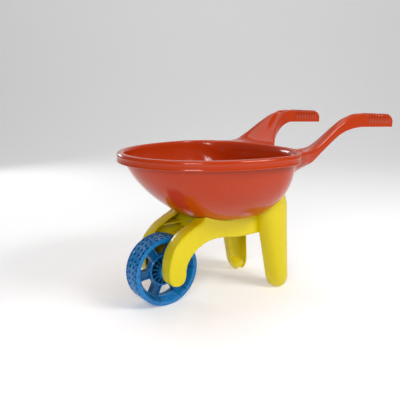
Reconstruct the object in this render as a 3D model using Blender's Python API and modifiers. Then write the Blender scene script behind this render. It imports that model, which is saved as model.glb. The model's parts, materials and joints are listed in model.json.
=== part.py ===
"""A child's sand barrow: a red tub moulded with its handles, two yellow side frames, a blue two-piece wheel.

Metres, +Z up. The barrow stands on its wheel and its two feet at z = 0. +X runs back to the handles, the
wheel is at -X, and the XZ plane is the plane of symmetry. The left hand of someone at the handles is at -Y.
"""

import math

import bmesh
import bpy
from mathutils import Matrix, Vector

# Driving dimensions.
LENGTH = 0.6685
HALF_WIDTH = 0.192
WALL = 0.0025
GAP = 0.0003

# Tub: the rim is a superellipse round TUB_MID_X, and the bowl shrinks down to a flat floor.
RIM_TOP = 0.3235
RIM_BOTTOM = 0.305
RIM_REACH = 0.0155
# The rim's section, as distance in from the outline and height, up to where the skirt turns down.
RIM_PROFILE = [(0.0135, RIM_TOP - 0.0007), (0.0105, RIM_TOP), (0.005, RIM_TOP)]
TUB_MID_X = -0.0862
TUB_FRONT_X = -LENGTH / 2
TUB_BACK_X = 0.0418
OUTLINE_POWER = 2.1
BOWL_TOP = 0.316
FLOOR_TOP = 0.179
FLOOR_SHARE = 0.40
FLOOR_SHIFT = 0.008
BOWL_POWERS = {"front": 1.5, "side": 1.95, "back": 3.0}
BOWL_ROUNDNESS = 1.35
AROUND = 48
DOWN = 9

# Handles: the wings rise from the back of the rim, and end in ribbed grips.
HANDLE_OUTER_Y = 0.131
HANDLE_INNER_Y = 0.105
EDGE = 0.005
EDGE_DROP = 0.0065
WING_COLUMNS = 7
GRIP_START_X = 0.2260
GRIP_END_X = LENGTH / 2
RIB_PITCH = 0.015
RIB_HEIGHT = 0.0008
END_ROUND = 0.012
# (x, z) of the crest along a handle, and of the lower edge of its outer skirt.
CREST = [(0.012, 0.3240), (0.038, 0.3245), (0.058, 0.3285), (0.088, 0.3450), (0.123, 0.3665),
         (0.156, 0.3840), (0.192, 0.3945), (0.2225, 0.3955), (0.2265, 0.3935), (0.332, 0.388)]
KEEL = [(-0.014, 0.303), (0.000, 0.2815), (0.028, 0.2865), (0.048, 0.2995), (0.079, 0.3185),
        (0.111, 0.338), (0.144, 0.355), (0.179, 0.363), (0.208, 0.3655), (0.3343, 0.3605)]
# Root stations: a point of the notch between the handles, the heights of its edge and of the foot of its
# skirt, and a point of the outside.
ROOT_STATIONS = [
    ((0.068, 0.020), 0.3175, 0.3020, (0.012, 0.1490)),
    ((0.089, 0.034), 0.3160, 0.3035, (0.031, 0.1430)),
    ((0.104, 0.046), 0.3180, 0.3060, (0.060, 0.1370)),
    ((0.118, 0.060), 0.3290, 0.3140, (0.096, 0.1340)),
    ((0.136, 0.076), 0.3480, 0.3270, (0.130, 0.1320)),
    ((0.158, 0.089), 0.3680, 0.3420, (0.162, HANDLE_OUTER_Y)),
    ((0.184, 0.0985), 0.3850, 0.3570, (0.192, HANDLE_OUTER_Y)),
    ((0.212, 0.104), 0.3935, 0.3650, (0.2225, HANDLE_OUTER_Y)),
]
CREST_SHARE = 0.62
CREST_FALL = 0.006

# Wheel and axle.
WHEEL_RADIUS = 0.075
WHEEL_HALF_WIDTH = 0.0233
AXLE_X = -0.2553
AXLE_Z = WHEEL_RADIUS
AXLE_RADIUS = 0.004
AXLE_HALF_LENGTH = 0.0605
HUB_BORE_RADIUS = 0.00412
HUB_RADIUS = 0.0165
HUB_END_Y = 0.0318
DRUM_RADIUS = 0.030
DISH_Y = 0.0120
RECESS_Y = 0.0050
PLATE_WALL = 0.0024
TREAD_WALL = 0.0028
SPOKES = 6
SPOKE_WIDTH = 0.018
SPOKE_TURN = math.radians(5)
WINDOW_INNER = 0.034
WINDOW_OUTER = 0.0575
WASHER_RADIUS = 0.008
WASHER_THICKNESS = 0.0014

# Side frames.
FRAME_OUTER_Y = 0.066
FRAME_INNER_Y = 0.034
FRAME_WALL = 0.0026
BOSS_RADIUS = 0.009
DECK_TOP = 0.1625
DECK_THICKNESS = 0.0025
ARM_OUTLINE = [(-0.2553, 0.0545), (-0.2412, 0.0602), (-0.2353, 0.0745), (-0.2343, 0.0885),
               (-0.2278, 0.1045), (-0.2133, 0.1210), (-0.1908, 0.1345), (-0.1640, 0.1405),
               (-0.1320, 0.1395), (-0.0920, 0.1345), (0.0240, 0.1345), (0.0240, 0.2150),
               (-0.1725, 0.2150), (-0.1895, 0.1885), (-0.2178, 0.1725), (-0.2433, 0.1575),
               (-0.2628, 0.1365), (-0.2723, 0.1150), (-0.2763, 0.0920), (-0.2757, 0.0745),
               (-0.2697, 0.0602)]
ARM_SHARP = {10, 11, 12}
# (at z = 0, change per metre of height) of the leg's front and rear edges, its bulge at the foot and at the
# top, and the height from which its rear edge is tucked in, with how much per metre.
LEG_MID_Y = 0.0695
LEG_OPEN_Y = 0.0640
LEG_TOP = 0.235
LEG_FRONT = (-0.0090, -0.2170)
LEG_REAR = (0.0380, -0.0500)
LEG_BULGE = (0.029, 0.033)
LEG_TUCK = (0.200, 0.32)
FOOT_ROUND = 0.030
FOOT_SHARE = 0.36
LEG_HOLLOW_FOOT = 0.003
TIE_Z = 0.150
TIE_TOP = 0.2
TIE_THICKNESS = 0.0025
TIE_LAP = 0.012
TIE_X = {"front": -0.1815, "rear": -0.0780}
TIE_SCREW_Z = {"front": 0.168, "rear": 0.160}

# Screws.
TUB_SCREWS = {"front": -0.112, "rear": -0.038}
TUB_SCREW_Y = 0.048
TUB_BOSS_RADIUS = 0.0055
SCREW_RADIUS = 0.0015
PILOT_RADIUS = 0.0017
CLEAR_RADIUS = 0.0022
HEAD_RADIUS = 0.004
HEAD_HEIGHT = 0.0024
TUB_SCREW_LENGTH = 0.0105
JOINING_SCREW_LENGTH = 0.0085
JOINING_BOSS_RADIUS = 0.004
JOINING_BOSS_LENGTH = 0.008

# Colour, metallic, roughness.
MATERIALS = {
    "red_plastic": ((0.578, 0.045, 0.012), 0.0, 0.28),
    "yellow_plastic": ((0.76, 0.58, 0.012), 0.0, 0.35),
    "blue_plastic": ((0.012, 0.19, 0.52), 0.0, 0.32),
    "steel": ((0.62, 0.62, 0.64), 1.0, 0.3),
}


# --- Helpers --------------------------------------------------------------------------------------

def clear_scene():
    for item in list(bpy.data.objects):
        bpy.data.objects.remove(item, do_unlink=True)


def new_collection(name):
    made = bpy.data.collections.new(name)
    bpy.context.scene.collection.children.link(made)
    return made


def make_material(name):
    colour, metallic, roughness = MATERIALS[name]
    made = bpy.data.materials.new(name)
    made.use_nodes = True
    shader = made.node_tree.nodes["Principled BSDF"]
    shader.inputs["Base Color"].default_value = (*colour, 1.0)
    shader.inputs["Metallic"].default_value = metallic
    shader.inputs["Roughness"].default_value = roughness
    return made


def mesh_object(name, mesh, collection, material=None):
    made = bpy.data.objects.new(name, mesh)
    collection.objects.link(made)
    if material is not None:
        mesh.materials.append(material)
    return made


def finish_mesh(name, shape, outward=True):
    """A mesh from a bmesh whose doubles are merged, with its faces turned outwards if it is closed."""
    bmesh.ops.remove_doubles(shape, verts=shape.verts, dist=1e-6)
    if outward:
        bmesh.ops.recalc_face_normals(shape, faces=shape.faces)
    mesh = bpy.data.meshes.new(name)
    shape.to_mesh(mesh)
    shape.free()
    return mesh


def as_cutter(item):
    item.display_type = "WIRE"
    item.hide_render = True
    return item


def boolean(item, other, operation):
    step = item.modifiers.new(operation.lower() + "_" + other.name, "BOOLEAN")
    step.operation = operation
    step.solver = "EXACT"
    step.object = other


def shade(item, angle=35):
    item.data.shade_smooth()
    item.data.set_sharp_from_angle(angle=math.radians(angle))


def interpolate(knots, x):
    """The height of a line of knots at x, level past its ends."""
    if x <= knots[0][0]:
        return knots[0][1]
    for (x0, z0), (x1, z1) in zip(knots, knots[1:]):
        if x <= x1:
            return z0 + (z1 - z0) * (x - x0) / (x1 - x0)
    return knots[-1][1]


def smooth_step(t):
    t = min(max(t, 0.0), 1.0)
    return t * t * (3 - 2 * t)


def add_rows(shape, rows, closed=False):
    """Skins rows of points, each row as long as the others, into quads."""
    made = [[shape.verts.new(point) for point in row] for row in rows]
    for upper, lower in zip(made, made[1:]):
        count = len(upper) if closed else len(upper) - 1
        for i in range(count):
            j = (i + 1) % len(upper)
            shape.faces.new((upper[i], upper[j], lower[j], lower[i]))
    return made


def loft(name, sections, collection):
    """A closed solid skinned over rings of points, with its two ends filled."""
    shape = bmesh.new()
    made = add_rows(shape, sections, closed=True)
    shape.faces.new(made[0])
    shape.faces.new(made[-1])
    return mesh_object(name, finish_mesh(name, shape), collection)


def box(name, low, high, collection):
    shape = bmesh.new()
    bmesh.ops.create_cube(shape, size=1.0)
    size = Vector(high) - Vector(low)
    middle = (Vector(high) + Vector(low)) / 2
    bmesh.ops.scale(shape, vec=size, verts=shape.verts)
    bmesh.ops.translate(shape, vec=middle, verts=shape.verts)
    return mesh_object(name, finish_mesh(name, shape), collection)


def cylinder(name, radius, length, centre, axis, collection, segments=24):
    """A cylinder about its centre, along X, Y or Z."""
    shape = bmesh.new()
    bmesh.ops.create_cone(shape, cap_ends=True, segments=segments, radius1=radius, radius2=radius,
                          depth=length)
    made = mesh_object(name, finish_mesh(name, shape), collection)
    made.location = centre
    made.rotation_euler = {"X": (0, math.pi / 2, 0), "Y": (math.pi / 2, 0, 0), "Z": (0, 0, 0)}[axis]
    return made


def turned(name, profile, steps, collection, material=None):
    """A closed profile of (radius, height) points, turned round Z by a Screw modifier."""
    mesh = bpy.data.meshes.new(name)
    points = [(radius, 0.0, height) for radius, height in profile]
    count = len(points)
    mesh.from_pydata(points, [(i, (i + 1) % count) for i in range(count)], [])
    made = mesh_object(name, mesh, collection, material)
    turn = made.modifiers.new("turn", "SCREW")
    turn.axis = "Z"
    turn.steps = steps
    turn.render_steps = steps
    turn.use_merge_vertices = True
    turn.merge_threshold = 0.0001
    turn.use_smooth_shade = True
    return made


def flat_outline(name, points, sharp, inset, depth, collection):
    """A plate from a closed curve in the XZ plane, drawn in by inset and depth thick, centred on y = 0."""
    curve = bpy.data.curves.new(name, "CURVE")
    curve.dimensions = "2D"
    curve.fill_mode = "BOTH"
    curve.extrude = depth / 2
    curve.offset = -inset
    curve.resolution_u = 4
    curve.render_resolution_u = 0
    line = curve.splines.new("BEZIER")
    line.bezier_points.add(len(points) - 1)
    for i, (x, z) in enumerate(points):
        knot = line.bezier_points[i]
        knot.co = (x, z, 0)
        kind = "VECTOR" if i in sharp else "AUTO"
        knot.handle_left_type = kind
        knot.handle_right_type = kind
    line.use_cyclic_u = True
    drawn = bpy.data.objects.new(name, curve)
    collection.objects.link(drawn)
    drawn.rotation_euler = (math.pi / 2, 0, 0)
    bpy.context.view_layer.update()
    mesh = bpy.data.meshes.new_from_object(drawn.evaluated_get(bpy.context.evaluated_depsgraph_get()))
    mesh.transform(drawn.matrix_world)
    bpy.data.objects.remove(drawn, do_unlink=True)
    shape = bmesh.new()
    shape.from_mesh(mesh)
    bpy.data.meshes.remove(mesh)
    return mesh_object(name, finish_mesh(name, shape), collection)


# --- Tub ------------------------------------------------------------------------------------------

def outline_point(angle, inset, share=1.0, shift=0.0):
    """A point of the rim's superellipse, drawn in by inset, shrunk by share and moved back by shift."""
    across, along = math.sin(angle), math.cos(angle)
    reach = (TUB_BACK_X - TUB_MID_X) if along > 0 else (TUB_MID_X - TUB_FRONT_X)
    bend = 2 / OUTLINE_POWER
    x = (reach - inset) * share * math.copysign(abs(along) ** bend, along)
    y = (HALF_WIDTH - inset) * share * math.copysign(abs(across) ** bend, across)
    return TUB_MID_X + shift + x, y


def bowl_point(angle, fall):
    """A point of the bowl's inside: fall runs from 0 at the rim to a quarter turn at the floor."""
    end = "back" if math.cos(angle) > 0 else "front"
    power = BOWL_POWERS["side"] * math.sin(angle) ** 2 + BOWL_POWERS[end] * math.cos(angle) ** 2
    depth = math.sin(fall) ** (2 / power)
    share = FLOOR_SHARE + (1 - FLOOR_SHARE) * math.cos(fall) ** (2 / BOWL_ROUNDNESS)
    x, y = outline_point(angle, RIM_REACH, share, FLOOR_SHIFT * depth)
    return x, y, BOWL_TOP - (BOWL_TOP - FLOOR_TOP) * depth


def bowl_rings():
    angles = [2 * math.pi * i / AROUND for i in range(AROUND)]
    falls = [math.pi / 2 * i / DOWN for i in range(DOWN + 1)]
    falls[-1] = math.pi / 2 - 1e-4
    return [[bowl_point(angle, fall) for angle in angles] for fall in falls]


def rim_rings():
    """Rings from the inner edge of the rim, over its top, to where the skirt turns down."""
    angles = [2 * math.pi * i / AROUND for i in range(AROUND)]
    return [[(*outline_point(angle, inset), height) for angle in angles] for inset, height in RIM_PROFILE]


def station_row(inner, outer, fall, columns):
    """A row of the wing's top from the notch to the outside: it climbs to the crest and falls a little."""
    (x0, y0, z0), (x1, y1, z1) = inner, outer
    row = []
    for j in range(columns + 1):
        share = j / columns
        rise = smooth_step(share / CREST_SHARE)
        past = max(share - CREST_SHARE, 0.0) / (1 - CREST_SHARE)
        x, y = x0 + (x1 - x0) * share, y0 + (y1 - y0) * share
        row.append((x, y, z0 + (z1 - z0) * rise - fall * past ** 2))
    return row


def wing_rows(side, rim):
    """The top of one wing and its handle, from the rim's own points to the end of the grip."""
    order = [rim[(side * j) % AROUND] for j in range(WING_COLUMNS + 1)]
    rows = [order]
    for i, ((x0, y0), height, _, (x1, y1)) in enumerate(ROOT_STATIONS):
        inner = (x0 - EDGE * 0.5, y0 + EDGE, height)
        outer = (x1, y1 - EDGE, interpolate(CREST, x1))
        fall = CREST_FALL * math.sin(math.pi * (i + 1) / (len(ROOT_STATIONS) + 1))
        rows.append([(x, side * y, z) for x, y, z in station_row(inner, outer, fall, WING_COLUMNS)])
    ribs = round((GRIP_END_X - END_ROUND - GRIP_START_X) / (RIB_PITCH / 2))
    stations = [GRIP_START_X + RIB_PITCH / 2 * i for i in range(1, ribs + 1)]
    heights = [RIB_HEIGHT * (i % 2) for i in range(1, ribs + 1)]
    stations += [GRIP_END_X - END_ROUND * 0.75, GRIP_END_X - EDGE]
    heights += [-0.0022, -0.0085]
    for x, height in zip(stations, heights):
        top = interpolate(CREST, x) + height
        inner = (x, HANDLE_INNER_Y + EDGE, top)
        outer = (x, HANDLE_OUTER_Y - EDGE, top)
        rows.append([(x, side * y, z) for x, y, z in station_row(inner, outer, 0.0, WING_COLUMNS)])
    return rows


def outline_loop(shape):
    """The vertices of the sheet's one open border, in order."""
    start = next(v for v in shape.verts if v.is_boundary)
    loop, last = [start], None
    while True:
        links = [e.other_vert(loop[-1]) for e in loop[-1].link_edges if e.is_boundary]
        step = next(v for v in links if v is not last)
        if step is start:
            return loop
        last = loop[-1]
        loop.append(step)


def skirt_foot(x, y):
    """The height of the skirt's lower edge under a point of the outline."""
    notch = [(x0, foot) for (x0, _), _, foot, _ in ROOT_STATIONS]
    if y > HANDLE_INNER_Y + 0.012:
        return interpolate(KEEL, x) if x > KEEL[0][0] else RIM_BOTTOM
    if x > notch[-1][0]:
        return interpolate(KEEL, x)
    return interpolate(notch, x) if x > notch[0][0] - 0.01 else RIM_BOTTOM


def add_skirt(shape):
    """Turns the sheet's border down, all round the rim, the wings and the grips."""
    loop = outline_loop(shape)
    count = len(loop)
    area = sum(a.co.x * b.co.y - b.co.x * a.co.y for a, b in zip(loop, loop[1:] + loop[:1]))
    if area < 0:
        loop.reverse()
    steps = [(0.8, EDGE_DROP / 3), (1.0, EDGE_DROP)]
    rows = [loop, [], [], []]
    for i, vertex in enumerate(loop):
        along = loop[(i + 1) % count].co - loop[i - 1].co
        out = Vector((along.y, -along.x, 0)).normalized()
        place = vertex.co
        foot = skirt_foot(place.x, abs(place.y))
        for row, (share, drop) in zip(rows[1:3], steps):
            row.append(shape.verts.new((place + out * EDGE * share).to_tuple()[:2] + (place.z - drop,)))
        low = min(foot, place.z - EDGE_DROP - 0.002)
        rows[3].append(shape.verts.new((place + out * EDGE).to_tuple()[:2] + (low,)))
    for upper, lower in zip(rows, rows[1:]):
        for i in range(count):
            j = (i + 1) % count
            shape.faces.new((upper[i], lower[i], lower[j], upper[j]))


def make_tub(parts, cutters, material):
    shape = bmesh.new()
    bowl = bowl_rings()
    made = add_rows(shape, bowl, closed=True)
    shape.faces.new(made[-1])
    rim = rim_rings()
    add_rows(shape, [bowl[0]] + rim, closed=True)
    for side in (1, -1):
        add_rows(shape, wing_rows(side, rim[-1]))
    bmesh.ops.remove_doubles(shape, verts=shape.verts, dist=1e-6)
    add_skirt(shape)
    bmesh.ops.recalc_face_normals(shape, faces=shape.faces)
    floor = min(shape.faces, key=lambda face: face.calc_center_median().z)
    if floor.normal.z < 0:
        bmesh.ops.reverse_faces(shape, faces=shape.faces)
    tub = mesh_object("tub", finish_mesh("tub", shape, outward=False), parts, material)
    shell = tub.modifiers.new("wall", "SOLIDIFY")
    shell.thickness = WALL
    shell.offset = -1
    shell.use_even_offset = True
    shell.use_quality_normals = True
    for end, x in TUB_SCREWS.items():
        for side in (1, -1):
            place = (x, side * TUB_SCREW_Y)
            tag = end + ("_right" if side > 0 else "_left")
            base, top = DECK_TOP + GAP, FLOOR_TOP - 0.0008
            boss = cylinder("tub_boss_" + tag, TUB_BOSS_RADIUS, top - base, (*place, (top + base) / 2), "Z",
                            cutters)
            boolean(tub, as_cutter(boss), "UNION")
            start, end_z = base - 0.002, FLOOR_TOP - WALL - 0.0005
            pilot = cylinder("tub_pilot_" + tag, PILOT_RADIUS, end_z - start,
                             (*place, (end_z + start) / 2), "Z", cutters, 12)
            boolean(tub, as_cutter(pilot), "DIFFERENCE")
    shade(tub)
    return tub


def make_bowl_cutter(cutters):
    """The tub's outside with a small gap round it, closed at the rim: what the frames are cut by."""
    cutter = loft("bowl_cutter", bowl_rings(), cutters)
    swell = cutter.modifiers.new("swell", "DISPLACE")
    swell.strength = WALL + GAP * 1.5
    swell.mid_level = 0.0
    return as_cutter(cutter)


# --- Side frames ----------------------------------------------------------------------------------

def leg_section(height, side, inset, open_y):
    """Half an oval, flat towards the middle of the barrow, narrowing down to a round foot."""
    level = max(height, 0.0)
    front = LEG_FRONT[0] + LEG_FRONT[1] * level
    rear = LEG_REAR[0] + LEG_REAR[1] * level - LEG_TUCK[1] * max(level - LEG_TUCK[0], 0.0)
    bulge = LEG_BULGE[0] + (LEG_BULGE[1] - LEG_BULGE[0]) * level / LEG_TOP
    share = 1.0
    if level < FOOT_ROUND:
        share = FOOT_SHARE + (1 - FOOT_SHARE) * math.sqrt(1 - (1 - level / FOOT_ROUND) ** 2)
    half = (rear - front) / 2 * share - inset
    middle = (rear + front) / 2
    points = [(middle + half, side * open_y, height)]
    for i in range(13):
        turn = math.pi * i / 12
        depth = (bulge * share - inset) * math.sin(turn) ** 0.85
        points.append((middle + half * math.cos(turn), side * (LEG_MID_Y + depth), height))
    points.append((middle - half, side * open_y, height))
    return points


def make_leg(name, side, inset, open_y, foot, cutters):
    heights = [0.0, 0.003, 0.0075, 0.014, 0.022, FOOT_ROUND, 0.127, LEG_TUCK[0], LEG_TOP]
    heights = [height for height in heights if height >= foot]
    sections = [leg_section(height, side, inset, open_y) for height in heights]
    return as_cutter(loft(name, sections, cutters))


def make_tie(name, x, side, cutters):
    """One half of a cross panel: a plate from the arm to just past the middle, lapped on the other half."""
    low_x = x if side < 0 else x + TIE_THICKNESS + GAP
    reach = side * (FRAME_OUTER_Y - FRAME_WALL / 2)
    y0, y1 = sorted((reach, -side * TIE_LAP))
    return as_cutter(box(name, (low_x, y0, TIE_Z), (low_x + TIE_THICKNESS, y1, TIE_TOP), cutters))


def make_frame(side, parts, cutters, bowl, material):
    hand = "right" if side > 0 else "left"
    outer, inner = side * FRAME_OUTER_Y, side * FRAME_INNER_Y
    depth = FRAME_OUTER_Y - FRAME_INNER_Y
    name = "side_frame_" + hand
    frame = flat_outline(name, ARM_OUTLINE, ARM_SHARP, 0.0, depth, parts)
    frame.data.transform(Matrix.Translation((0, (outer + inner) / 2, 0)))
    frame.data.materials.append(material)
    boolean(frame, make_leg("leg_" + hand, side, 0.0, LEG_OPEN_Y, 0.0, cutters), "UNION")

    hollow = flat_outline("hollow_" + hand, ARM_OUTLINE, ARM_SHARP, FRAME_WALL, depth, cutters)
    hollow.data.transform(Matrix.Translation((0, (outer + inner) / 2 - side * FRAME_WALL, 0)))
    leg_hollow = make_leg("leg_hollow_" + hand, side, FRAME_WALL, LEG_OPEN_Y - 0.006, LEG_HOLLOW_FOOT,
                          cutters)
    boolean(hollow, leg_hollow, "UNION")
    y0, y1 = sorted((outer + side * 0.03, inner - side * 0.01))
    deck = box("deck_" + hand, (-0.31, y0, DECK_TOP - DECK_THICKNESS), (0.05, y1, DECK_TOP), cutters)
    boolean(hollow, as_cutter(deck), "DIFFERENCE")
    boolean(frame, as_cutter(hollow), "DIFFERENCE")

    web = outer - side * FRAME_WALL / 2
    boss = cylinder("axle_boss_" + hand, BOSS_RADIUS, abs(web - inner),
                    (AXLE_X, (web + inner) / 2, AXLE_Z), "Y", cutters)
    boolean(frame, as_cutter(boss), "UNION")
    for end, x in TIE_X.items():
        boolean(frame, make_tie(end + "_tie_" + hand, x, side, cutters), "UNION")
        if side > 0:
            knob_low = x + 2 * TIE_THICKNESS + GAP - 0.001
            length = JOINING_BOSS_LENGTH + 0.001
            knob = cylinder(end + "_joining_boss", JOINING_BOSS_RADIUS, length,
                            (knob_low + length / 2, 0, TIE_SCREW_Z[end]), "X", cutters, 16)
            boolean(frame, as_cutter(knob), "UNION")
    boolean(frame, bowl, "DIFFERENCE")

    bore = cylinder("axle_bore_" + hand, AXLE_RADIUS + GAP / 2, 0.06,
                    (AXLE_X, side * (AXLE_HALF_LENGTH + GAP - 0.03), AXLE_Z), "Y", cutters)
    boolean(frame, as_cutter(bore), "DIFFERENCE")
    for end, x in TUB_SCREWS.items():
        hole = cylinder("deck_hole_" + end + "_" + hand, CLEAR_RADIUS, 0.01,
                        (x, side * TUB_SCREW_Y, DECK_TOP - DECK_THICKNESS / 2), "Z", cutters, 12)
        boolean(frame, as_cutter(hole), "DIFFERENCE")
    for end, x in TIE_X.items():
        radius = CLEAR_RADIUS if side < 0 else PILOT_RADIUS
        hole = cylinder("tie_hole_" + end + "_" + hand, radius, 0.04, (x + 0.005, 0, TIE_SCREW_Z[end]), "X",
                        cutters, 12)
        boolean(frame, as_cutter(hole), "DIFFERENCE")
    return frame


# --- Wheel, axle and fasteners --------------------------------------------------------------------

def window_outline(spoke, side):
    """One window between two spokes: straight along the spokes, round at the corners, in the wheel's plane.
    The two halves are turned to face outwards, so the spokes lean the other way in each one's own plane."""
    middle = 2 * math.pi * (spoke + 0.5) / SPOKES - side * SPOKE_TURN
    half_gap = math.pi / SPOKES
    r0, r1 = WINDOW_INNER, WINDOW_OUTER
    a0, a1 = (half_gap - math.asin(SPOKE_WIDTH / 2 / radius) for radius in (r0, r1))
    path = [(r0 + 0.003, -a0), (r1 - 0.004, -a1), (r1, -a1 * 0.78), (r1 + 0.0006, 0), (r1, a1 * 0.78),
            (r1 - 0.004, a1), (r0 + 0.003, a0), (r0, a0 * 0.5), (r0, -a0 * 0.5)]
    return [(radius * math.cos(middle + turn), radius * math.sin(middle + turn)) for radius, turn in path]


def make_wheel_half(side, parts, cutters, material, hub):
    hand = "right" if side > 0 else "left"
    plate = WHEEL_HALF_WIDTH - 0.0008
    inside = WHEEL_RADIUS - TREAD_WALL
    profile = [(WHEEL_RADIUS - 0.0012, WHEEL_HALF_WIDTH), (WHEEL_RADIUS, WHEEL_HALF_WIDTH - 0.0012),
               (WHEEL_RADIUS, GAP / 2), (inside, GAP / 2), (inside, plate - PLATE_WALL),
               (WINDOW_OUTER, plate - PLATE_WALL),
               (DRUM_RADIUS + 0.002, DISH_Y - PLATE_WALL), (DRUM_RADIUS + 0.002, RECESS_Y - PLATE_WALL),
               (HUB_RADIUS, RECESS_Y - PLATE_WALL), (HUB_RADIUS, GAP / 2),
               (HUB_BORE_RADIUS, GAP / 2), (HUB_BORE_RADIUS, HUB_END_Y),
               (HUB_RADIUS - 0.001, HUB_END_Y), (HUB_RADIUS, HUB_END_Y - 0.001),
               (HUB_RADIUS, RECESS_Y), (DRUM_RADIUS, RECESS_Y), (DRUM_RADIUS, DISH_Y), (WINDOW_OUTER, plate),
               (inside - 0.0012, plate), (inside, WHEEL_HALF_WIDTH)]
    half = turned("wheel_half_" + hand, profile, 48, parts, material)
    half.rotation_euler = (-side * math.pi / 2, 0, 0)
    half.parent = hub
    shape = bmesh.new()
    for spoke in range(SPOKES):
        flat = window_outline(spoke, side)
        add_rows(shape, [[(x, y, z) for x, y in flat] for z in (0.006, 0.03)], closed=True)
    bmesh.ops.holes_fill(shape, edges=shape.edges, sides=0)
    cutter = mesh_object("windows_" + hand, finish_mesh("windows_" + hand, shape), cutters)
    cutter.rotation_euler = half.rotation_euler
    cutter.location = hub.location
    boolean(half, as_cutter(cutter), "DIFFERENCE")
    return half


def make_screw(name, length, parts, material):
    """A pan head screw about Z, its head's underside at z = 0 and its shank along +Z."""
    profile = [(SCREW_RADIUS * 0.4, length), (SCREW_RADIUS, length - 0.0018), (SCREW_RADIUS, 0.0),
               (HEAD_RADIUS, 0.0), (HEAD_RADIUS, -HEAD_HEIGHT * 0.45), (HEAD_RADIUS * 0.7, -HEAD_HEIGHT),
               (0.0, -HEAD_HEIGHT), (0.0, length)]
    return turned(name, profile, 16, parts, material)


def make_fasteners(parts, steel):
    for end, x in TUB_SCREWS.items():
        for side in (1, -1):
            hand = "right" if side > 0 else "left"
            screw = make_screw("tub_screw_" + end + "_" + hand, TUB_SCREW_LENGTH, parts, steel)
            screw.location = (x, side * TUB_SCREW_Y, DECK_TOP - DECK_THICKNESS - GAP)
    for end, x in TIE_X.items():
        screw = make_screw("joining_screw_" + end, JOINING_SCREW_LENGTH, parts, steel)
        screw.location = (x - GAP, 0, TIE_SCREW_Z[end])
        screw.rotation_euler = (0, math.pi / 2, 0)


def make_axle(parts, steel):
    axle = cylinder("axle_rod", AXLE_RADIUS, 2 * AXLE_HALF_LENGTH, (AXLE_X, 0, AXLE_Z), "Y", parts, 32)
    axle.data.materials.append(steel)
    shade(axle)
    start = HUB_END_Y + GAP
    for side in (1, -1):
        hand = "right" if side > 0 else "left"
        bore = AXLE_RADIUS + GAP
        profile = [(WASHER_RADIUS, WASHER_THICKNESS), (WASHER_RADIUS, 0), (bore, 0),
                   (bore, WASHER_THICKNESS)]
        washer = turned("axle_washer_" + hand, profile, 32, parts, steel)
        washer.rotation_euler = (-side * math.pi / 2, 0, 0)
        washer.location = (AXLE_X, side * start, AXLE_Z)


def main():
    clear_scene()
    parts = new_collection("toy_wheelbarrow")
    cutters = new_collection("cutters")
    materials = {name: make_material(name) for name in MATERIALS}
    make_tub(parts, cutters, materials["red_plastic"])
    bowl = make_bowl_cutter(cutters)
    for side in (1, -1):
        make_frame(side, parts, cutters, bowl, materials["yellow_plastic"])
    hub = bpy.data.objects.new("wheel_pivot", None)
    hub.location = (AXLE_X, 0, AXLE_Z)
    parts.objects.link(hub)
    for side in (1, -1):
        make_wheel_half(side, parts, cutters, materials["blue_plastic"], hub)
    make_axle(parts, materials["steel"])
    make_fasteners(parts, materials["steel"])


main()
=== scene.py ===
"""The looks of a child's sand barrow: red tub moulded with its handles, yellow side frames, blue spoked
wheel.

Every shape is a surface worked out on a grid of two parameters and skinned into a closed mesh. Sizes
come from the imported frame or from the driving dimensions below, in metres, with +X towards the handles
and +Z up.
"""

import json
import math

import bmesh
import bpy
import numpy as np
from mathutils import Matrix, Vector


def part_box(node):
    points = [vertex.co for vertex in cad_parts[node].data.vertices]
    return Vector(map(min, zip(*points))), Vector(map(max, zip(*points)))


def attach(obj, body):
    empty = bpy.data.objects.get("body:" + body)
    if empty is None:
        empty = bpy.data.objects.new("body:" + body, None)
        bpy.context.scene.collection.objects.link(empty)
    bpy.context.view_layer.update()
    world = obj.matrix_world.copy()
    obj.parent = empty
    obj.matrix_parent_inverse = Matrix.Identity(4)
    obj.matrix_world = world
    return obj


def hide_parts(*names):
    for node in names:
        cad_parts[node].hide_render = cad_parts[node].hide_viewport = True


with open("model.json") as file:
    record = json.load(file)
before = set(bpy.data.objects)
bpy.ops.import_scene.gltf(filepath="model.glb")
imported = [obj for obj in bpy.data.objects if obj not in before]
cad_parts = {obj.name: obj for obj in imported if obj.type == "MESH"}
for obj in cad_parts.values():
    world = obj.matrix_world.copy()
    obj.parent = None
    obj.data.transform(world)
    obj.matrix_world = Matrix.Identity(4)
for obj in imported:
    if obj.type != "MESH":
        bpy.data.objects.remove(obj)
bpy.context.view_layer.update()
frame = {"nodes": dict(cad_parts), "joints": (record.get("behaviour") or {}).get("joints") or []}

TURN = 2 * math.pi
SIDES = (("left", -1), ("right", 1))

# --- Sizes read from the frame ------------------------------------------------------------

TUB_LOW, TUB_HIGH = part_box("tub")
WHEEL_LOW, WHEEL_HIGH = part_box("wheel_half_left")
AXLE = Vector(frame["joints"][0]["pos_m"])
TUB_FRONT_X = TUB_LOW.x
GRIP_END_X = TUB_HIGH.x
HALF_WIDTH = TUB_HIGH.y
WHEEL_RADIUS = (WHEEL_HIGH.z - WHEEL_LOW.z) / 2
HUB_END_Y = -WHEEL_LOW.y

# --- Tub ----------------------------------------------------------------------------------

TUB_WALL = 0.0025
TUB_MID_X = -0.0862
TUB_BACK_X = 0.0418
OUTLINE_POWER = 2.1
RIM_TOP = 0.3235
RIM_BOTTOM = 0.305
RIM_REACH = 0.0155
BOWL_TOP = 0.316
FLOOR_TOP = 0.179
FLOOR_SHARE = 0.40
FLOOR_SHIFT = 0.008
POWER_FRONT, POWER_SIDE, POWER_BACK = 1.5, 1.95, 3.0
BOWL_ROUNDNESS = 1.35
AROUND = 240
ROLL = 0.005
ROLL_DROP = 0.0065

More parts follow.
